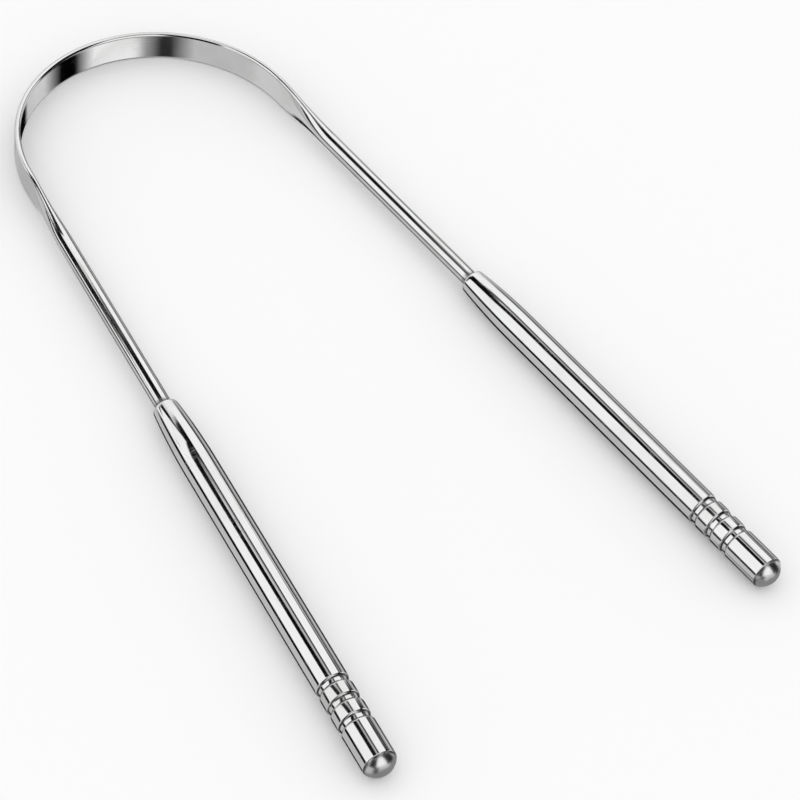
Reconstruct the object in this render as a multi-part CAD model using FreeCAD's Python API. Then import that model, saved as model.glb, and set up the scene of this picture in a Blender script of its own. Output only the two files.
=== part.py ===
"""Stainless tongue scraper: one bent wire, pressed flat round its bend, with two tube handles crimped on."""
import FreeCAD, Part
import math
import os

os.makedirs("parts", exist_ok=True)

# Driving dimensions of the wire, in millimetres and degrees
WIRE_DIAMETER = 2.7
BAND_WIDTH = 5.6
BAND_THICKNESS = 1.0
BEND_RADIUS = 24.6
ARM_SPLAY = 5.0
ARM_LENGTH = 53.3
EASE_LENGTH = 15.0
TANG_CHAMFER = 0.4

# Driving dimensions of the handles, measured along each handle from its mouth
HANDLE_DIAMETER = 5.5
HANDLE_LENGTH = 74.0
SLEEVE_WALL = 0.5
NOSE_LENGTH = 13.0
LIP_RADIUS = 0.4
GRIP_LENGTH = 1.2
DOME_HEIGHT = 1.85
SEAM_RADIUS = 0.12

# Driving dimensions of the rolled grooves and of the plug that they lock
GROOVE_COUNT = 3
GROOVE_WIDTH = 1.0
GROOVE_DEPTH = 0.28
GROOVE_PITCH = 3.45
GROOVE_TO_END = 7.2
GROOVE_SHOULDER = 0.35
GROOVE_ROOT = 0.15
PLUG_LEAD = 3.0
PLUG_CHAMFER = 0.4
TANG_SEAT = 8.0

# Gap left between parts that are pressed together
FIT_CLEARANCE = 0.02

# How the wire's section eases from flat to round
EASE_SECTIONS = 9
ROUND_FACE_ANGLE = 45.0

# Sizes that follow from the driving dimensions
WIRE_RADIUS = WIRE_DIAMETER / 2
HANDLE_RADIUS = HANDLE_DIAMETER / 2
BORE_RADIUS = HANDLE_RADIUS - SLEEVE_WALL
GRIP_RADIUS = WIRE_RADIUS + FIT_CLEARANCE
SPIGOT_RADIUS = BORE_RADIUS - FIT_CLEARANCE
SLEEVE_LENGTH = HANDLE_LENGTH - DOME_HEIGHT
BEAD_LENGTH = GROOVE_WIDTH + 2 * GROOVE_SHOULDER
DOME_RADIUS = (HANDLE_RADIUS**2 + DOME_HEIGHT**2) / (2 * DOME_HEIGHT)
LAST_GROOVE = SLEEVE_LENGTH - GROOVE_TO_END
GROOVES = [LAST_GROOVE - GROOVE_PITCH * n for n in reversed(range(GROOVE_COUNT))]
PLUG_FRONT = GROOVES[0] - BEAD_LENGTH / 2 - PLUG_LEAD
TANG_END = PLUG_FRONT + TANG_SEAT
ROUND_FROM = ARM_LENGTH - EASE_LENGTH

# Drawing the tube's nose down keeps its metal section, so the mouth's radius follows from the wire
MOUTH_RADIUS = math.sqrt(GRIP_RADIUS**2 + HANDLE_RADIUS**2 - BORE_RADIUS**2)

# Plan of the U: the arms run straight out of the bend, and the part's box is centred over the origin
SPLAY = math.radians(ARM_SPLAY)
MOUTH_X = BEND_RADIUS * math.cos(SPLAY) + ARM_LENGTH * math.sin(SPLAY)
BEND_Y = ARM_LENGTH * math.cos(SPLAY) - BEND_RADIUS * math.sin(SPLAY)
FRONT_Y = BEND_Y + BEND_RADIUS + BAND_THICKNESS / 2
REAR_Y = -(HANDLE_LENGTH - DOME_RADIUS) * math.cos(SPLAY) - DOME_RADIUS
LEVEL = max(BAND_WIDTH, HANDLE_DIAMETER) / 2

ORIGIN = FreeCAD.Vector(0, 0, 0)
ACROSS = FreeCAD.Vector(1, 0, 0)
FORWARD = FreeCAD.Vector(0, 1, 0)
UP = FreeCAD.Vector(0, 0, 1)


def line(start, end):
    """A straight edge between two points."""
    return Part.LineSegment(start, end).toShape()


def arc(start, middle, end):
    """A round edge through three points."""
    return Part.Arc(start, middle, end).toShape()


def path(start, steps):
    """Edges that follow one another: a step is an end point, or a middle and an end point for an arc."""
    edges = []
    for *middle, end in steps:
        edges.append(arc(start, middle[0], end) if middle else line(start, end))
        start = end
    return edges


def smooth(share):
    """Ease from 0 to 1 with no slope at either end."""
    return share * share * (3 - 2 * share)


# The wire


def wire_section(along, roundness):
    """The wire's outline at a distance along an arm: roundness 0 is the flat band, 1 the round wire.

    Two edge arcs, above and below, run tangent into two face arcs, which are straight on the flat band.
    """
    half_width = BAND_WIDTH / 2 + (WIRE_RADIUS - BAND_WIDTH / 2) * roundness
    half_thickness = BAND_THICKNESS / 2 + (WIRE_RADIUS - BAND_THICKNESS / 2) * roundness
    face_angle = math.radians(ROUND_FACE_ANGLE) * roundness
    edge_centre = (half_width - half_thickness) / (1 - math.tan(face_angle / 2))
    edge_radius = half_width - edge_centre
    corner_x = edge_radius * math.cos(face_angle)
    corner_z = edge_centre + edge_radius * math.sin(face_angle)

    def half(side):
        """The edge arc on one side, then the face arc that leads round to the other side."""
        start = FreeCAD.Vector(-side * corner_x, along, side * corner_z)
        crest = FreeCAD.Vector(0, along, side * half_width)
        corner = FreeCAD.Vector(side * corner_x, along, side * corner_z)
        middle = FreeCAD.Vector(side * half_thickness, along, 0)
        end = FreeCAD.Vector(side * corner_x, along, -side * corner_z)
        face = (middle, end) if roundness else (end,)
        return path(start, [(crest, corner), face])

    return Part.Wire(half(1) + half(-1))


def wire_arm():
    """One arm in its own frame, along +Y: tang, round shank and the stretch that eases flat."""
    shank = Part.makeCylinder(WIRE_RADIUS, TANG_END + ROUND_FROM, FORWARD * -TANG_END, FORWARD)
    tang_rim = [edge for edge in shank.Edges if edge.BoundBox.YMax < ROUND_FROM - TANG_END]
    shank = shank.makeChamfer(TANG_CHAMFER, tang_rim)
    shares = [n / (EASE_SECTIONS - 1) for n in range(EASE_SECTIONS)]
    sections = [wire_section(ROUND_FROM + EASE_LENGTH * share, smooth(1 - share)) for share in shares]
    eased = Part.makeLoft(sections, True, False)
    return shank.fuse(eased)


def make_wire():
    """The whole wire: the flat band round the bend and both arms, as one piece."""
    profile = wire_section(0, 0)
    profile.translate(ACROSS * BEND_RADIUS)
    band = Part.Face(profile).revolve(ORIGIN, UP, 180 - 2 * ARM_SPLAY)
    band.rotate(ORIGIN, UP, ARM_SPLAY)
    band.translate(FORWARD * BEND_Y)
    right_arm = wire_arm()
    right_arm.rotate(ORIGIN, UP, ARM_SPLAY)
    right_arm.translate(ACROSS * MOUTH_X)
    left_arm = right_arm.mirror(ORIGIN, ACROSS)
    return band.fuse([right_arm, left_arm]).removeSplitter()


# The handles, turned about +Z with the mouth at 0


def radial(radius, along):
    """A point of a turned profile: its radius and its distance from the handle's mouth."""
    return FreeCAD.Vector(radius, 0, along)


def turned(edges):
    """Turn a closed outline about the handle's axis."""
    outline = Part.Wire(Part.__sortEdges__(edges))
    return Part.Face(outline).revolve(ORIGIN, UP, 360)


def nose_centre(start, end):
    """Centre of the arc that leaves start and runs level into the straight profile at end."""
    drop = end.x - start.x
    run = end.z - start.z
    return radial(end.x - (run**2 + drop**2) / (2 * drop), end.z)


def arc_middle(start, end, centre):
    """The point halfway along the arc between two points round a centre."""
    chord_middle = (start + end) * 0.5
    return centre + (chord_middle - centre).normalize() * (end - centre).Length


def rounded_rim(centre, radius, plane, fillet):
    """Three points of the arc that rounds a flat end into the profile circle that rises from it."""
    height = plane + fillet - centre.z
    reach = math.sqrt((radius - fillet)**2 - height**2)
    rim = centre + radial(reach, height)
    outward = (rim - centre).normalize()
    halfway = (outward - UP).normalize()
    return rim - UP * fillet, rim + halfway * fillet, rim + outward * fillet


def groove_wall():
    """Points down one wall of a groove, each with its depth and its distance from the groove's middle."""
    slope = math.acos(1 - GROOVE_DEPTH / (GROOVE_SHOULDER + GROOVE_ROOT))
    half_width = GROOVE_WIDTH / 2

    def shoulder(angle):
        depth = GROOVE_SHOULDER * (1 - math.cos(angle))
        return depth, half_width + GROOVE_SHOULDER * (math.sin(slope) - math.sin(angle))

    def root(angle):
        depth = GROOVE_DEPTH - GROOVE_ROOT * (1 - math.cos(angle))
        return depth, half_width - GROOVE_ROOT * (math.sin(slope) - math.sin(angle))

    return [shoulder(0), shoulder(slope / 2), shoulder(slope), root(slope / 2), root(0)]


def groove_steps(at):
    """Steps along the tube's outside through one rolled groove."""
    wall = groove_wall()
    front = [radial(HANDLE_RADIUS - depth, at - offset) for depth, offset in wall]
    back = [radial(HANDLE_RADIUS - depth, at + offset) for depth, offset in reversed(wall)]
    down = [(front[0],), (front[1], front[2]), (front[3], front[4])]
    up = [(back[0],), (back[1], back[2]), (back[3], back[4])]
    return down + up


def bead_steps(radius, at):
    """Steps through the bead that a rolled groove raises inside the tube, or the dent it leaves in the plug."""
    half = BEAD_LENGTH / 2
    return [(radial(radius, at - half),), (radial(radius - GROOVE_DEPTH, at), radial(radius, at + half))]


def make_sleeve():
    """The handle's tube: rounded lip and nose drawn down onto the wire, three grooves rolled in behind."""
    barrel = radial(HANDLE_RADIUS, NOSE_LENGTH)
    centre = nose_centre(radial(MOUTH_RADIUS, 0), barrel)
    lip_start, lip_middle, lip_end = rounded_rim(centre, HANDLE_RADIUS - centre.x, 0, LIP_RADIUS)
    outside = [(lip_middle, lip_end), (arc_middle(lip_end, barrel, centre), barrel)]
    for at in GROOVES:
        outside += groove_steps(at)
    seam_centre = radial(HANDLE_RADIUS - SEAM_RADIUS, SLEEVE_LENGTH - SEAM_RADIUS)
    seam_start = seam_centre + ACROSS * SEAM_RADIUS
    seam_end = seam_centre + UP * SEAM_RADIUS
    outside += [(seam_start,), (arc_middle(seam_start, seam_end, seam_centre), seam_end)]

    mouth = radial(GRIP_RADIUS, 0)
    grip_end = radial(GRIP_RADIUS, GRIP_LENGTH)
    bore = radial(BORE_RADIUS, NOSE_LENGTH)
    bore_end = radial(BORE_RADIUS, SLEEVE_LENGTH)
    inside = [(grip_end,), (arc_middle(grip_end, bore, nose_centre(grip_end, bore)), bore)]
    for at in GROOVES:
        inside += bead_steps(BORE_RADIUS, at)
    inside += [(bore_end,), (seam_end,)]
    return turned(path(lip_start, outside) + path(mouth, inside) + [line(lip_start, mouth)])


def make_plug():
    """The plug that closes the tube: domed end outside, dented spigot inside, blind bore for the tang."""
    seat_radius = WIRE_RADIUS + FIT_CLEARANCE
    dome_centre = radial(0, HANDLE_LENGTH - DOME_RADIUS)
    rim_start, rim_middle, rim_end = rounded_rim(dome_centre, DOME_RADIUS, SLEEVE_LENGTH, SEAM_RADIUS)
    bore_floor = radial(0, TANG_END)
    tip = radial(0, HANDLE_LENGTH)
    steps = [
        (radial(seat_radius, TANG_END),),
        (radial(seat_radius, PLUG_FRONT),),
        (radial(SPIGOT_RADIUS - PLUG_CHAMFER, PLUG_FRONT),),
        (radial(SPIGOT_RADIUS, PLUG_FRONT + PLUG_CHAMFER),),
    ]
    for at in GROOVES:
        steps += bead_steps(SPIGOT_RADIUS, at)
    steps += [
        (radial(SPIGOT_RADIUS, SLEEVE_LENGTH),),
        (rim_start,),
        (rim_middle, rim_end),
        (arc_middle(rim_end, tip, dome_centre), tip),
        (bore_floor,),
    ]
    return turned(path(bore_floor, steps))


def on_right_arm(piece):
    """Put a turned piece on the right arm, with its mouth end towards the bend."""
    piece.rotate(ORIGIN, ACROSS, 90)
    piece.rotate(ORIGIN, UP, ARM_SPLAY)
    piece.translate(ACROSS * MOUTH_X)
    return piece


# All pieces, moved so that the part lies on the ground with its box centred over the origin
sleeve = on_right_arm(make_sleeve())
plug = on_right_arm(make_plug())
pieces = {
    "scraper_wire": make_wire(),
    "right_handle_sleeve": sleeve,
    "left_handle_sleeve": sleeve.mirror(ORIGIN, ACROSS),
    "right_end_plug": plug,
    "left_end_plug": plug.mirror(ORIGIN, ACROSS),
}
to_ground = FreeCAD.Vector(0, -(FRONT_Y + REAR_Y) / 2, LEVEL)
for name, piece in pieces.items():
    piece.translate(to_ground)
    piece.exportStep(f"parts/{name}.step")
    print(name, len(piece.Solids), "solid", piece.isValid(), round(piece.Volume, 2), "mm3")
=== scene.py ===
"""Looks of the tongue scraper: polished steel in a white studio, from the photograph's angle."""
import math

import bmesh
import bpy
from mathutils import Matrix, Vector


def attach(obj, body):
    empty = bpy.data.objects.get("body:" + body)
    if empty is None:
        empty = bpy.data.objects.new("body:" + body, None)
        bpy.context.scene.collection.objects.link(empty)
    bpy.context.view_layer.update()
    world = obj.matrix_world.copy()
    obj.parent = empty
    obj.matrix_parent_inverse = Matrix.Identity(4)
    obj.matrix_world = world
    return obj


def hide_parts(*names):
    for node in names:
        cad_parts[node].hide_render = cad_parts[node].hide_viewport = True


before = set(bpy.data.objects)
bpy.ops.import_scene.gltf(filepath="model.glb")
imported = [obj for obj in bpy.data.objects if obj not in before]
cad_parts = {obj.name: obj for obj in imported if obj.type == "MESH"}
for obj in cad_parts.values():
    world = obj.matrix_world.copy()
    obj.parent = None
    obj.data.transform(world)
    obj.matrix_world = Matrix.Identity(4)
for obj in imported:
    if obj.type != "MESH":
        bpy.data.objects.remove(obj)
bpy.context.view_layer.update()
scene = bpy.context.scene

# Sizes of the part, in millimetres and degrees, as the solids have them
WIRE_RADIUS = 1.35
BAND_WIDTH = 5.6
BAND_THICKNESS = 1.0
BEND_RADIUS = 24.6
BEND_Y = 49.7914
MOUTH = Vector((29.1518, -1.1617, 2.8))
ARM_SPLAY = 5.0
ARM_LENGTH = 53.3
EASE_LENGTH = 15.0
TANG_END = 62.2
TANG_CHAMFER = 0.4
ROUND_FACE_ANGLE = 45.0
HANDLE_RADIUS = 2.75
HANDLE_LENGTH = 74.0
SLEEVE_LENGTH = 72.15
SLEEVE_WALL = 0.5
MOUTH_RADIUS = 2.0917
NOSE_LENGTH = 13.0
LIP_RADIUS = 0.4
GRIP_LENGTH = 1.2
SEAM_RADIUS = 0.12
GROOVES = (58.05, 61.5, 64.95)
GROOVE_WIDTH = 1.0
GROOVE_DEPTH = 0.28
GROOVE_SHOULDER = 0.35
GROOVE_ROOT = 0.15
PLUG_FRONT = 54.2
PLUG_CHAMFER = 0.4
FIT_CLEARANCE = 0.02

# Sizes that follow from them
BORE_RADIUS = HANDLE_RADIUS - SLEEVE_WALL
GRIP_RADIUS = WIRE_RADIUS + FIT_CLEARANCE
SPIGOT_RADIUS = BORE_RADIUS - FIT_CLEARANCE
BEAD_LENGTH = GROOVE_WIDTH + 2 * GROOVE_SHOULDER
DOME_HEIGHT = HANDLE_LENGTH - SLEEVE_LENGTH
DOME_RADIUS = (HANDLE_RADIUS**2 + DOME_HEIGHT**2) / (2 * DOME_HEIGHT)
GROOVE_PITCH = GROOVES[1] - GROOVES[0]

# How finely the surfaces are drawn, with lengths in millimetres and angles in degrees
MILLIMETRE = 0.001
TURN_STEPS = 96
FINE_ARC = 8
LONG_ARC = 32
BEND_STEPS = 120
EASE_STEPS = 60
EASE_LEAD = 0.5
EDGE_STEPS = 24
FACE_STEPS = 14
SHARP_ANGLE = 35.0
POLE_SIZE = 1e-6
SHORTEST_LINE = 1e-9

# The camera, found by fitting the part's outline to the photograph; metres and degrees
EYE = Vector((-0.18323, -0.24092, 0.33958))
EYE_AZIMUTH = -40.0
EYE_ELEVATION = 49.08
EYE_ROLL = 9.08
NEAREST_VIEW = 0.01
LENS_MM = 126.53
SENSOR_MM = 36.0

# The studio: a white floor and sky, grey below the horizon for the steel to mirror
FLOOR_WIDTH = 40.0
FLOOR_DROP = 0.00002
FLOOR_COLOUR = (0.97, 0.97, 0.97, 1.0)
SKY_COLOUR = (1.0, 1.0, 1.0, 1.0)
GROUND_COLOUR = (0.68, 0.68, 0.68, 1.0)
HORIZON_BLEND = 0.04

# Cards that only the steel mirrors, the nearer ones over the farther. Each has where it starts
# and ends, as azimuth clockwise from +Y and elevation, its width and soft edge in degrees, and
# its glow.
STUDIO_MIDDLE = (0.0, 0.0, 0.0)
PANEL_DISTANCE = 8.0
PANELS = {
    "left_panel": ((-58, 2), (-58, 62), 42, 3, 1.22),
    "right_panel": ((40, 22), (38, 62), 60, 3, 1.22),
    "rear_panel": ((185, 5), (185, 52), 42, 8, 1.22),
    "rear_low_panel": ((162, -52), (162, -34), 40, 12, 1.15),
    "right_low_panel": ((88, -52), (88, -34), 22, 14, 0.8),
}
FLAG_DISTANCE = 7.0
FLAGS = {
    "overhead_gap": ((-30, 30), (-30, 62), 14.6, 2, 0.0),
    "zenith_gap": ((-49, 60), (-12, 66), 14.5, 2, 0.0),
    "ceiling_gap": ((-8, 61), (22, 63), 17, 2, 0.5),
    "edge_arch": ((64, 20), (110, 43), 16, 4, 0.0),
    "right_rear_gap": ((132, -6), (126, 62), 46, 5, 0.0),
    "right_rear_low_gap": ((123, -52), (123, 0), 28, 16, 0.0),
    "rear_top_gap": ((150, 66), (215, 66), 18, 5, 0.0),
    "left_rear_gap": ((230, -6), (232, 64), 38, 5, 0.0),
    "left_rear_low_gap": ((210, -52), (210, 0), 22, 16, 0.03),
    "rear_floor": ((72, -68), (170, -68), 24, 6, 0.2),
    "horizon_bar": ((-86, -6), (-42, -7), 15, 2, 0.0),
    "right_flank": ((52, 2), (74, 2), 14, 3, 0.42),
    "right_low_gap": ((62, -18), (44, -52), 14, 5, 0.0),
    "behind_low_gap": ((27, -6), (27, -50), 34, 6, 0.0),
    "behind_gap": ((-31, -56), (58, -48), 36, 5, 0.0),
}
LINE_DISTANCE = 6.0
LINES = {
    "ceiling_line": ((12, 53), (20, 71), 7, 2, 0.0),
    "right_flank_line": ((52, 12), (74, 10), 10, 2, 0.0),
}

# Small cards for one place of the scraper each: how far from it, the place, and the rest as above
ARM_DISTANCE = 0.3
NOSE_DISTANCE = 0.01
BAND_DISTANCE = 0.058
DOME_DISTANCE = 0.05
LEFT_ARM = (-0.027, 0.025, 0.0028)
RIGHT_ARM = (0.027, 0.025, 0.0028)
NOSE_FRONT = (-0.0299, -0.0006, 0.002)
NOSE_BACK = (-0.0293, -0.0046, 0.0029)
BAND_OUTSIDE = (-0.0238, 0.0562, 0.0028)
BAND_INSIDE = (0.0238, 0.0545, 0.0028)
LEFT_DOME = (-0.0355, -0.074, 0.0028)
RIGHT_DOME = (0.0355, -0.074, 0.0028)
NEAR_CARDS = {
    "left_arm_flag": (ARM_DISTANCE, LEFT_ARM, (-48, 12), (-24, 48), 9, 2, 0.0),
    "right_arm_flag": (ARM_DISTANCE, RIGHT_ARM, (-46, 47), (4, 58), 11, 2, 0.0),
    "nose_front_card": (NOSE_DISTANCE, NOSE_FRONT, (-132.1, 52.5), (-55.6, 24.5), 38.6, 5, 1.22),
    "nose_back_card": (NOSE_DISTANCE, NOSE_BACK, (-105.3, 31.4), (-55.5, 53.2), 33.4, 5, 1.22),
    "band_outside_card": (BAND_DISTANCE, BAND_OUTSIDE, (-39, -54), (20, -45), 24, 4, 0.55),
    "band_inside_card": (BAND_DISTANCE, BAND_INSIDE, (-75, -45), (-28, -45), 26, 8, 0.79),
    "left_dome_flag": (DOME_DISTANCE, LEFT_DOME, (-30, -70), (150, -20), 80, 10, 0.3),
    "right_dome_flag": (DOME_DISTANCE, RIGHT_DOME, (-42, -70), (138, -22), 80, 10, 0.3),
}

# Lines of points over a card, as side and shift by half the soft edge: outer, inner, inner, outer
CARD_STEPS = ((-1, -1), (-1, 1), (1, -1), (1, 1))

# The steel's colours: clean, smudged, and a near-black painted shade for its creases
STEEL_COLOUR = (0.7, 0.7, 0.705, 1.0)
DULL_COLOUR = (0.65, 0.645, 0.64, 1.0)
CREASE_SHADE_COLOUR = (0.05, 0.048, 0.045, 1.0)

# How each piece is finished: its polishing lines and hairlines, as grain sizes in millimetres
# across and along its own axis, and its roughness
WIRE_FINISH = ((0.08, 0.08, 12.0), (0.5, 0.5, 30.0), 0.06)
SLEEVE_FINISH = ((5.0, 5.0, 0.09), (2.5, 2.5, 0.5), 0.05)
PLUG_FINISH = ((0.1, 0.1, 0.05), (0.6, 0.6, 0.6), 0.2)

# What marks the steel: sizes and heights in millimetres, the part of a noise that counts, and
# added roughness. The left handle is turned about its axis, so that its marks differ.
SMOOTH_DETAIL = 1.0
PLAIN_DETAIL = 2.0
FINE_DETAIL = 4.0
NOISE_MIDDLE = 0.5
WAVE_SIZES = (2.4, 2.4, 2.4)
WAVE_HEIGHT = 0.008
LINE_HEIGHT = 0.0003
LINE_ROUGHNESS = 0.03
HAIR_HEIGHT = 0.002
HAIR_RANGE = (0.012, 0.0)
HAIR_ROUGHNESS = 0.1
HAIR_PATCH_SIZES = (3.0, 3.0, 5.0)
HAIR_PATCH_RANGE = (0.52, 0.62)
SMUDGE_SIZES = (7.0, 7.0, 7.0)
SMUDGE_RANGE = (0.4, 0.7)
SMUDGE_ROUGHNESS = 0.05
# The painted crease shade lies in patches: their grain size, the part of a noise that counts, and
# the roughness it adds
SHADE_PATCH_SIZES = (1.2, 1.2, 1.2)
SHADE_PATCH_RANGE = (0.3, 0.55)
SHADED_CREASE_ROUGHNESS = 0.3
LEFT_TURN = 130.0

# Where painted shade begins and where it is full, in millimetres: below the barrel's surface in a
# groove, ahead of the first groove, inside a groove's edges, below the surface at the seam, and
# ahead of the mouth
GROOVE_SHADE_DEPTHS = (0.1, 0.18)
GROOVE_SHADE_LEADS = (3.0, 2.0)
GROOVE_SHADE_INSETS = (0.25, 0.15)
SEAM_SHADE_DEPTHS = (0.3, 0.05)
MOUTH_SHADE_LEADS = (1.5, 0.0)


def add(tree, kind, inputs=None, **settings):
    """A shader node: each input is a number or colour to set, or another node's output to link."""
    node = tree.nodes.new("ShaderNode" + kind)
    for name, value in settings.items():
        setattr(node, name, value)
    for name, value in (inputs or {}).items():
        if isinstance(value, bpy.types.NodeSocket):
            tree.links.new(value, node.inputs[name])
        else:
            node.inputs[name].default_value = value
    return node


def new_material(name):
    """A material with an empty node tree, and its output node."""
    material = bpy.data.materials.new(name)
    material.use_nodes = True
    material.node_tree.nodes.clear()
    return material, material.node_tree, add(material.node_tree, "OutputMaterial")


def new_object(name, vertices, faces, material):
    """A mesh object in the scene."""
    mesh = bpy.data.meshes.new(name)
    mesh.from_pydata(vertices, [], faces)
    mesh.materials.append(material)
    piece = bpy.data.objects.new(name, mesh)
    scene.collection.objects.link(piece)
    return piece


# Meshes


def distances(points):
    """How far each point lies along the points' own line, with the whole line as 1."""
    runs = [0.0]
    for before, after in zip(points, points[1:]):
        runs.append(runs[-1] + (after - before).length)
    return [run / max(runs[-1], SHORTEST_LINE) for run in runs]


def ring_faces(rings, rows):
    """Faces between neighbouring rings, and each face corner's place on the bake map."""
    count = len(rings[0])
    along = distances([ring[0] for ring in rings])
    faces, charts = [], []
    for k in range(len(rows) - 1):
        near = distances(rings[k] + rings[k][:1])
        far = distances(rings[k + 1] + rings[k + 1][:1])
        for n in range(count):
            m = (n + 1) % count
            corners = {}
            corners.setdefault(rows[k][n], (near[n], along[k]))
            corners.setdefault(rows[k][m], (near[n + 1], along[k]))
            corners.setdefault(rows[k + 1][m], (far[n + 1], along[k + 1]))
            corners.setdefault(rows[k + 1][n], (far[n], along[k + 1]))
            faces.append(list(corners))
            charts += corners.values()
    return faces, charts


def even_out(piece):
    """Face a mesh outward and shade it smoothly between its sharp edges."""
    work = bmesh.new()
    work.from_mesh(piece.data)
    bmesh.ops.recalc_face_normals(work, faces=work.faces)
    work.to_mesh(piece.data)
    work.free()
    piece.data.shade_smooth()
    piece.data.set_sharp_from_angle(angle=math.radians(SHARP_ANGLE))
    piece.modifiers.new("even_normals", "WEIGHTED_NORMAL").keep_sharp = True


def skin(name, rings, places, closed, material):
    """A mesh over rings of points in millimetres, each with its place in the piece's own frame.

    A ring whose points fall together becomes a pole.
    """
    count = len(rings[0])
    vertices, own, rows = [], [], []
    for ring, place in zip(rings, places):
        first = len(vertices)
        pole = (ring[0] - ring[1]).length < POLE_SIZE
        rows.append([first] * count if pole else list(range(first, first + count)))
        vertices += ring[:1] if pole else ring
        own += place[:1] if pole else place
    if closed:
        rings = rings + rings[:1]
        rows.append(rows[0])
    faces, charts = ring_faces(rings, rows)
    piece = new_object(name, [v * MILLIMETRE for v in vertices], faces, material)
    layer = piece.data.uv_layers.new(name="OFBake")
    for loop, chart in zip(layer.data, charts):
        loop.uv = chart
    attribute = piece.data.attributes.new("place", "FLOAT_VECTOR", "POINT")
    for value, place in zip(attribute.data, own):
        value.vector = place
    even_out(piece)
    return piece


def smooth(share):
    """Ease from 0 to 1 with no slope at either end."""
    return share * share * (3 - 2 * share)


def wire_section(roundness, shrink=0.0):
    """Points round the wire, as sideways and upward offsets: roundness 0 is the band, 1 the arm."""
    half_width = BAND_WIDTH / 2 + (WIRE_RADIUS - BAND_WIDTH / 2) * roundness - shrink
    half_thickness = BAND_THICKNESS / 2 + (WIRE_RADIUS - BAND_THICKNESS / 2) * roundness - shrink
    face_angle = math.radians(ROUND_FACE_ANGLE) * roundness
    edge_centre = (half_width - half_thickness) / (1 - math.tan(face_angle / 2))
    edge_radius = half_width - edge_centre
    corner_x = edge_radius * math.cos(face_angle)
    corner_y = edge_centre + edge_radius * math.sin(face_angle)
    half = []
    for n in range(FACE_STEPS):
        share = 2 * n / FACE_STEPS - 1
        if roundness:
            face_radius = corner_y / math.sin(face_angle)
            swing = face_angle * share
            bulge = face_radius * (math.cos(swing) - math.cos(face_angle))
            half.append(Vector((corner_x + bulge, face_radius * math.sin(swing))))
        else:
            half.append(Vector((corner_x, corner_y * share)))
    for n in range(EDGE_STEPS):
        swing = face_angle + (math.pi - 2 * face_angle) * n / EDGE_STEPS
        rise = edge_centre + edge_radius * math.sin(swing)
        half.append(Vector((edge_radius * math.cos(swing), rise)))
    return half + [-point for point in half]


def wire_stations():
    """Stations from right tang to left: angle round the bend, distance from it and roundness."""
    ease = [n / EASE_STEPS for n in range(EASE_STEPS)]
    arm = [(ARM_LENGTH + TANG_END - TANG_CHAMFER, 1.0), (EASE_LENGTH + EASE_LEAD, 1.0)]
    arm += [(EASE_LENGTH * (1 - share), smooth(1 - share)) for share in ease]
    right = [(ARM_SPLAY, away, roundness) for away, roundness in arm]
    sweep = 180 - 2 * ARM_SPLAY
    bend = [(ARM_SPLAY + sweep * n / BEND_STEPS, 0.0, 0.0) for n in range(BEND_STEPS + 1)]
    left = [(180 - ARM_SPLAY, away, roundness) for away, roundness in reversed(arm)]
    return right + bend + left


def wire_ring(angle, away, section):
    """A section's points at an angle round the bend, or away from the bend along an arm."""
    turn = math.radians(angle)
    outward = Vector((math.cos(turn), math.sin(turn), 0))
    back = Vector((math.sin(turn), -math.cos(turn), 0)) * (away if angle < 90 else -away)
    middle = Vector((0, BEND_Y, MOUTH.z)) + outward * BEND_RADIUS + back
    return [middle + outward * point.x + Vector((0, 0, point.y)) for point in section]


def make_wire(material):
    """The scraping wire, from tang to tang, with both tang ends chamfered."""
    tang_tip = wire_section(1.0, TANG_CHAMFER)
    tip_centre = [Vector((0, 0))] * len(tang_tip)
    stations = [
        (angle, away, wire_section(roundness)) for angle, away, roundness in wire_stations()
    ]
    reach = ARM_LENGTH + TANG_END
    stations[:0] = [(ARM_SPLAY, reach, tip_centre), (ARM_SPLAY, reach, tang_tip)]
    stations += [(180 - ARM_SPLAY, reach, tang_tip), (180 - ARM_SPLAY, reach, tip_centre)]
    rings, places = [], []
    for angle, away, section in stations:
        run = math.radians(angle - 90) * BEND_RADIUS + (away if angle > 90 else -away)
        rings.append(wire_ring(angle, away, section))
        places.append([Vector((point.x, point.y, run)) for point in section])
    return skin("polished_wire", rings, places, False, material)


def arc(centre, start, end, steps):
    """Points on the arc from start to end round a centre, without its start."""
    arm = start - centre
    turn = arm.angle_signed(end - centre)
    return [centre + Matrix.Rotation(-turn * n / steps, 2) @ arm for n in range(1, steps + 1)]


def level_centre(start, end):
    """Centre of the arc that leaves start and runs level into the straight outline at end."""
    rise = end.x - start.x
    run = end.y - start.y
    return Vector((end.x - (run**2 + rise**2) / (2 * rise), end.y))


def rounded_rim(centre, radius, plane, fillet):
    """Centre, start and end of the arc that rounds a flat end into the circle above it."""
    height = plane + fillet - centre.y
    reach = math.sqrt((radius - fillet)**2 - height**2)
    rim = centre + Vector((reach, height))
    return rim, rim - Vector((0, fillet)), rim + (rim - centre).normalized() * fillet


def groove(at):
    """Outline points through one rolled groove, from the front shoulder to the back one."""
    slope = math.acos(1 - GROOVE_DEPTH / (GROOVE_SHOULDER + GROOVE_ROOT))
    half = GROOVE_WIDTH / 2
    drop = GROOVE_SHOULDER * (1 - math.cos(slope))
    top = Vector((HANDLE_RADIUS, -half - GROOVE_SHOULDER * math.sin(slope)))
    middle = Vector((HANDLE_RADIUS - drop, -half))
    bottom = Vector((HANDLE_RADIUS - GROOVE_DEPTH, GROOVE_ROOT * math.sin(slope) - half))
    wall = [top]
    wall += arc(top - Vector((GROOVE_SHOULDER, 0)), top, middle, FINE_ARC)
    wall += arc(bottom + Vector((GROOVE_ROOT, 0)), middle, bottom, FINE_ARC)
    front = [Vector((point.x, at + point.y)) for point in wall]
    back = [Vector((point.x, at - point.y)) for point in reversed(wall)]
    return front + back


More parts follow.
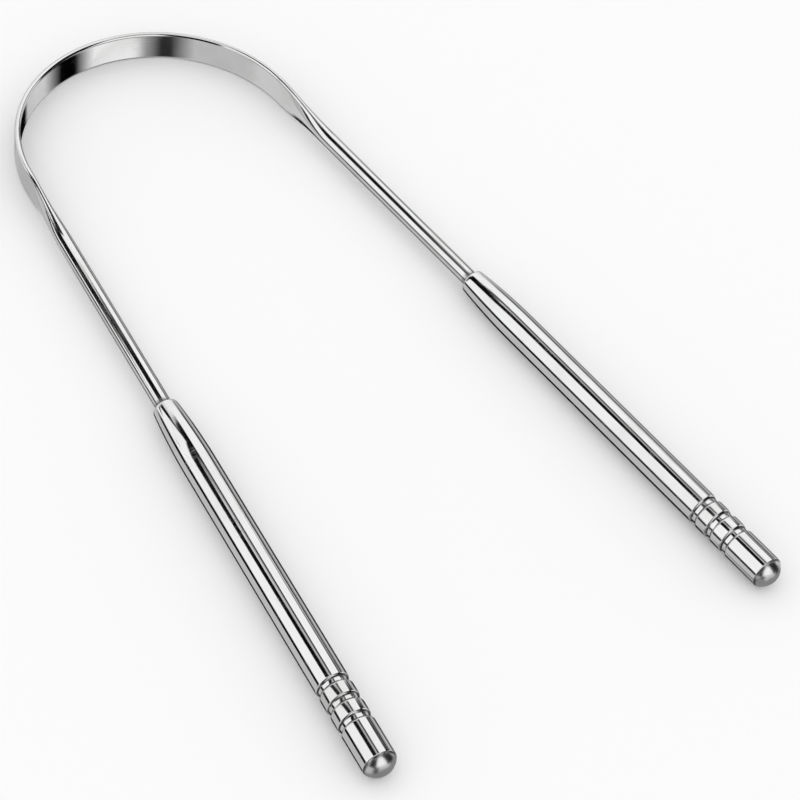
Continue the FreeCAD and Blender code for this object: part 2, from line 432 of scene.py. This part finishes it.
def bead(radius, at):
    """Outline points through the bead that a groove raises in the tube, or its dent in the plug."""
    half = BEAD_LENGTH / 2
    bead_radius = (half**2 + GROOVE_DEPTH**2) / (2 * GROOVE_DEPTH)
    centre = Vector((radius - GROOVE_DEPTH + bead_radius, at))
    start = Vector((radius, at - half))
    return [start] + arc(centre, start, Vector((radius, at + half)), FINE_ARC)


def sleeve_outline():
    """The tube's closed outline, as radius and distance from the mouth: outside, then inside."""
    barrel = Vector((HANDLE_RADIUS, NOSE_LENGTH))
    nose = level_centre(Vector((MOUTH_RADIUS, 0)), barrel)
    lip, lip_start, lip_end = rounded_rim(nose, HANDLE_RADIUS - nose.x, 0, LIP_RADIUS)
    outline = [lip_start] + arc(lip, lip_start, lip_end, FINE_ARC)
    outline += arc(nose, lip_end, barrel, LONG_ARC)
    for at in GROOVES:
        outline += groove(at)
    seam = Vector((HANDLE_RADIUS - SEAM_RADIUS, SLEEVE_LENGTH - SEAM_RADIUS))
    seam_start = seam + Vector((SEAM_RADIUS, 0))
    outline += [seam_start] + arc(seam, seam_start, seam + Vector((0, SEAM_RADIUS)), FINE_ARC)
    grip = Vector((GRIP_RADIUS, GRIP_LENGTH))
    bore = Vector((BORE_RADIUS, NOSE_LENGTH))
    inside = [Vector((GRIP_RADIUS, 0)), grip]
    inside += arc(level_centre(grip, bore), grip, bore, FINE_ARC)
    for at in GROOVES:
        inside += bead(BORE_RADIUS, at)
    inside.append(Vector((BORE_RADIUS, SLEEVE_LENGTH)))
    return outline + inside[::-1]


def plug_outline():
    """The plug's outline from the floor of its bore round to the tip of its dome."""
    dome = Vector((0, HANDLE_LENGTH - DOME_RADIUS))
    rim, rim_start, rim_end = rounded_rim(dome, DOME_RADIUS, SLEEVE_LENGTH, SEAM_RADIUS)
    outline = [
        Vector((0, TANG_END)),
        Vector((GRIP_RADIUS, TANG_END)),
        Vector((GRIP_RADIUS, PLUG_FRONT)),
        Vector((SPIGOT_RADIUS - PLUG_CHAMFER, PLUG_FRONT)),
        Vector((SPIGOT_RADIUS, PLUG_FRONT + PLUG_CHAMFER)),
    ]
    for at in GROOVES:
        outline += bead(SPIGOT_RADIUS, at)
    outline += [Vector((SPIGOT_RADIUS, SLEEVE_LENGTH)), rim_start]
    outline += arc(rim, rim_start, rim_end, FINE_ARC)
    outline += arc(dome, rim_end, Vector((0, HANDLE_LENGTH)), LONG_ARC)
    return outline


def turned(name, outline, closed, side, material):
    """A piece turned from an outline about its own +Z, laid along one arm, mouth to the bend."""
    turns = [Matrix.Rotation(2 * math.pi * n / TURN_STEPS, 3, "Z") for n in range(TURN_STEPS)]
    places = [[turn @ Vector((point.x, 0, point.y)) for turn in turns] for point in outline]
    spin = Matrix.Rotation(math.radians(LEFT_TURN if side < 0 else 0), 4, "Z")
    flat = Matrix.Rotation(math.radians(90), 4, "X")
    splay = Matrix.Rotation(math.radians(side * ARM_SPLAY), 4, "Z")
    lay = Matrix.Translation((side * MOUTH.x, MOUTH.y, MOUTH.z)) @ splay @ flat @ spin
    rings = [[lay @ point for point in ring] for ring in places]
    return skin(name, rings, places, closed, material)


def settle(piece, node):
    """Put a piece in a CAD node's place."""
    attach(piece, "root")
    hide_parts(node)


# Materials


def maths(tree, operation, *values):
    """The result of a Math node."""
    return add(tree, "Math", dict(enumerate(values)), operation=operation).outputs[0]


def level(tree, value, low, high):
    """Ease from 0 where a value is low to 1 where it is high."""
    inputs = {"Value": value, "From Min": low, "From Max": high}
    return add(tree, "MapRange", inputs, interpolation_type="SMOOTHSTEP").outputs[0]


def blend(tree, share, first, second):
    """Mix two colours."""
    return add(tree, "MixRGB", {"Fac": share, "Color1": first, "Color2": second}).outputs[0]


def total(tree, base, *terms):
    """A base number plus each value times its weight."""
    for value, weight in terms:
        base = maths(tree, "MULTIPLY_ADD", value, weight, base)
    return base


def noise(tree, place, sizes, detail):
    """Noise whose grains have these sizes in millimetres along the piece's own axes."""
    scale = [1 / size for size in sizes]
    scaled = add(tree, "Mapping", {"Vector": place, "Scale": scale}).outputs[0]
    inputs = {"Vector": scaled, "Scale": 1.0, "Detail": detail}
    return add(tree, "TexNoise", inputs).outputs[0]


def hairlines(tree, place, sizes):
    """Sparse thin scratches: where a stretched noise crosses its middle, kept only in patches."""
    off_middle = maths(tree, "SUBTRACT", noise(tree, place, sizes, SMOOTH_DETAIL), NOISE_MIDDLE)
    lines = level(tree, maths(tree, "ABSOLUTE", off_middle), *HAIR_RANGE)
    patches = noise(tree, place, HAIR_PATCH_SIZES, PLAIN_DETAIL)
    return maths(tree, "MULTIPLY", lines, level(tree, patches, *HAIR_PATCH_RANGE))


def steel(name, finish, shade_mask):
    """Polished steel: fine polishing lines, soft waves, hairline scratches, smudges, and painted
    shade in its creases.
    """
    lines, hairs, roughness = finish
    material, tree, output = new_material(name)
    place = add(tree, "Attribute", attribute_name="place").outputs["Vector"]
    polish = noise(tree, place, lines, PLAIN_DETAIL)
    waves = noise(tree, place, WAVE_SIZES, SMOOTH_DETAIL)
    smudges = level(tree, noise(tree, place, SMUDGE_SIZES, FINE_DETAIL), *SMUDGE_RANGE)
    scratches = hairlines(tree, place, hairs)
    # Painted shade: the creases this steel is given go near-black in patches, and a little rougher
    patches = level(tree, noise(tree, place, SHADE_PATCH_SIZES, FINE_DETAIL), *SHADE_PATCH_RANGE)
    painted_shade = maths(tree, "MULTIPLY", shade_mask(tree, place), patches)
    height = total(
        tree, 0.0, (waves, WAVE_HEIGHT), (polish, LINE_HEIGHT), (scratches, -HAIR_HEIGHT)
    )
    rough = total(
        tree, roughness, (smudges, SMUDGE_ROUGHNESS), (polish, LINE_ROUGHNESS),
        (scratches, HAIR_ROUGHNESS), (painted_shade, SHADED_CREASE_ROUGHNESS)
    )
    colour = blend(tree, smudges, STEEL_COLOUR, DULL_COLOUR)
    # Paint the shade of the creases into the colour
    colour = blend(tree, painted_shade, colour, CREASE_SHADE_COLOUR)
    bump = add(tree, "Bump", {"Strength": 1.0, "Distance": MILLIMETRE, "Height": height})
    shader = add(tree, "BsdfPrincipled", {
        "Base Color": colour, "Metallic": 1.0, "Roughness": rough, "Normal": bump.outputs[0]
    })
    tree.links.new(shader.outputs[0], output.inputs["Surface"])
    return material


def along_axis(tree, place):
    """Distance along a piece's own axis."""
    return add(tree, "SeparateXYZ", {"Vector": place}).outputs["Z"]


def off_axis(tree, place):
    """Distance from a piece's own axis."""
    parts = add(tree, "SeparateXYZ", {"Vector": place}).outputs
    across = add(tree, "CombineXYZ", {"X": parts["X"], "Y": parts["Y"]}).outputs[0]
    return add(tree, "VectorMath", {0: across}, operation="LENGTH").outputs["Value"]


def short_of(end, gaps):
    """The places that lie these gaps short of an end."""
    return [end - gap for gap in gaps]


def groove_shade(tree, place):
    """Painted shade in the corners of the rolled grooves."""
    along = along_axis(tree, place)
    deep = level(tree, off_axis(tree, place), *short_of(HANDLE_RADIUS, GROOVE_SHADE_DEPTHS))
    behind_nose = level(tree, along, *short_of(GROOVES[0], GROOVE_SHADE_LEADS))
    past_first = maths(tree, "SUBTRACT", along, GROOVES[0])
    offset = maths(tree, "PINGPONG", past_first, GROOVE_PITCH / 2)
    corner = level(tree, offset, *short_of(GROOVE_WIDTH / 2, GROOVE_SHADE_INSETS))
    return maths(tree, "MULTIPLY", maths(tree, "MULTIPLY", deep, behind_nose), corner)


def seam_shade(tree, place):
    """Painted shade along the seam round the dome."""
    return level(tree, off_axis(tree, place), *short_of(HANDLE_RADIUS, SEAM_SHADE_DEPTHS))


def mouth_shade(tree, place):
    """Painted shade where the wire goes into the handles."""
    to_mouth = math.radians(90 - ARM_SPLAY) * BEND_RADIUS + ARM_LENGTH
    from_middle = maths(tree, "ABSOLUTE", along_axis(tree, place))
    return level(tree, from_middle, *short_of(to_mouth, MOUTH_SHADE_LEADS))


def make_part():
    """All five pieces of the scraper."""
    # Each steel gets painted shade in its own creases: the wire at the mouths, the sleeves in their
    # grooves, the plugs at the seam
    wire_steel = steel("wire_steel", WIRE_FINISH, mouth_shade)
    sleeve_steel = steel("sleeve_steel", SLEEVE_FINISH, groove_shade)
    plug_steel = steel("plug_steel", PLUG_FINISH, seam_shade)
    settle(make_wire(wire_steel), "scraper_wire")
    for word, side in (("left", -1), ("right", 1)):
        sleeve = turned(f"{word}_polished_sleeve", sleeve_outline(), True, side, sleeve_steel)
        settle(sleeve, f"{word}_handle_sleeve")
        plug = turned(f"{word}_polished_plug", plug_outline(), False, side, plug_steel)
        settle(plug, f"{word}_end_plug")


# Studio


def direction(azimuth, elevation):
    """The unit vector towards an azimuth, clockwise from +Y, and an elevation."""
    a = math.radians(azimuth)
    e = math.radians(elevation)
    return Vector((math.sin(a) * math.cos(e), math.cos(a) * math.cos(e), math.sin(e)))


def make_camera():
    """The camera at the photograph's place and angle."""
    camera = bpy.data.objects.new("camera", bpy.data.cameras.new("camera"))
    camera.data.lens = LENS_MM
    camera.data.sensor_width = SENSOR_MM
    camera.data.clip_start = NEAREST_VIEW
    turn = Matrix.Rotation(math.radians(EYE_AZIMUTH), 4, "Z")
    tilt = Matrix.Rotation(math.radians(90 - EYE_ELEVATION), 4, "X")
    roll = Matrix.Rotation(math.radians(EYE_ROLL), 4, "Z")
    camera.matrix_world = Matrix.Translation(EYE) @ turn @ tilt @ roll
    scene.collection.objects.link(camera)
    scene.camera = camera


def make_sky():
    """An even white sky, greyer below the horizon, where only the steel can see it."""
    world = bpy.data.worlds.new("studio")
    world.use_nodes = True
    tree = world.node_tree
    towards = add(tree, "TexCoord").outputs["Generated"]
    height = add(tree, "SeparateXYZ", {"Vector": towards}).outputs["Z"]
    above = level(tree, height, -HORIZON_BLEND, HORIZON_BLEND)
    colour = blend(tree, above, GROUND_COLOUR, SKY_COLOUR)
    tree.links.new(colour, tree.nodes["Background"].inputs["Color"])
    scene.world = world


def make_floor():
    """The white table under the scraper; the steel mirrors the sky and cards in its place."""
    material, tree, output = new_material("floor")
    shader = add(tree, "BsdfDiffuse", {"Color": FLOOR_COLOUR})
    tree.links.new(shader.outputs[0], output.inputs["Surface"])
    half = FLOOR_WIDTH / 2
    sides = ((-half, -half), (half, -half), (half, half), (-half, half))
    corners = [Vector((x, y, -FLOOR_DROP)) for x, y in sides]
    floor = new_object("floor", corners, [range(len(corners))], material)
    floor.visible_glossy = False


def card_material():
    """A card as bright as its object's colour, fading out towards its rim."""
    material, tree, output = new_material("studio_card")
    cover = add(tree, "Attribute", attribute_name="cover").outputs["Fac"]
    glow = add(tree, "Emission", {"Color": add(tree, "ObjectInfo").outputs["Color"]}).outputs[0]
    clear = add(tree, "BsdfTransparent").outputs[0]
    mixed = add(tree, "MixShader", {0: cover, 1: clear, 2: glow})
    tree.links.new(mixed.outputs[0], output.inputs["Surface"])
    return material


def make_card(name, material, distance, place, start, end, width, edge, glow):
    """A flat card that faces a place and shows only as a reflection in the steel."""
    start = direction(*start)
    end = direction(*end)
    middle = (start + end).normalized()
    along = (end - start).normalized()
    across = middle.cross(along)
    half_edge = math.tan(math.radians(edge) / 2)
    half_long = math.tan(start.angle(end) / 2)
    half_wide = math.tan(math.radians(width) / 2)
    points, covers = [], []
    for v, q in CARD_STEPS:
        for u, p in CARD_STEPS:
            aside = across * (u * half_wide + p * half_edge)
            onward = along * (v * half_long + q * half_edge)
            points.append(Vector(place) + (middle + aside + onward) * distance)
            covers.append(float(u != p and v != q))
    row = len(CARD_STEPS)
    firsts = [row * v + u for v in range(row - 1) for u in range(row - 1)]
    faces = [[first, first + 1, first + row + 1, first + row] for first in firsts]
    card = new_object(name, points, faces, material)
    attribute = card.data.attributes.new("cover", "FLOAT", "POINT")
    for value, cover in zip(attribute.data, covers):
        value.value = cover
    card.color = (glow, glow, glow, 1.0)
    card.visible_camera = False
    card.visible_diffuse = False
    card.visible_shadow = False


def make_studio():
    """Sky, floor and cards."""
    make_sky()
    make_floor()
    material = card_material()
    far_cards = ((PANELS, PANEL_DISTANCE), (FLAGS, FLAG_DISTANCE), (LINES, LINE_DISTANCE))
    for cards, distance in far_cards:
        for name, sizes in cards.items():
            make_card(name, material, distance, STUDIO_MIDDLE, *sizes)
    for name, values in NEAR_CARDS.items():
        make_card(name, material, *values)


make_camera()
make_part()
make_studio()
scene.view_settings.view_transform = "Standard"
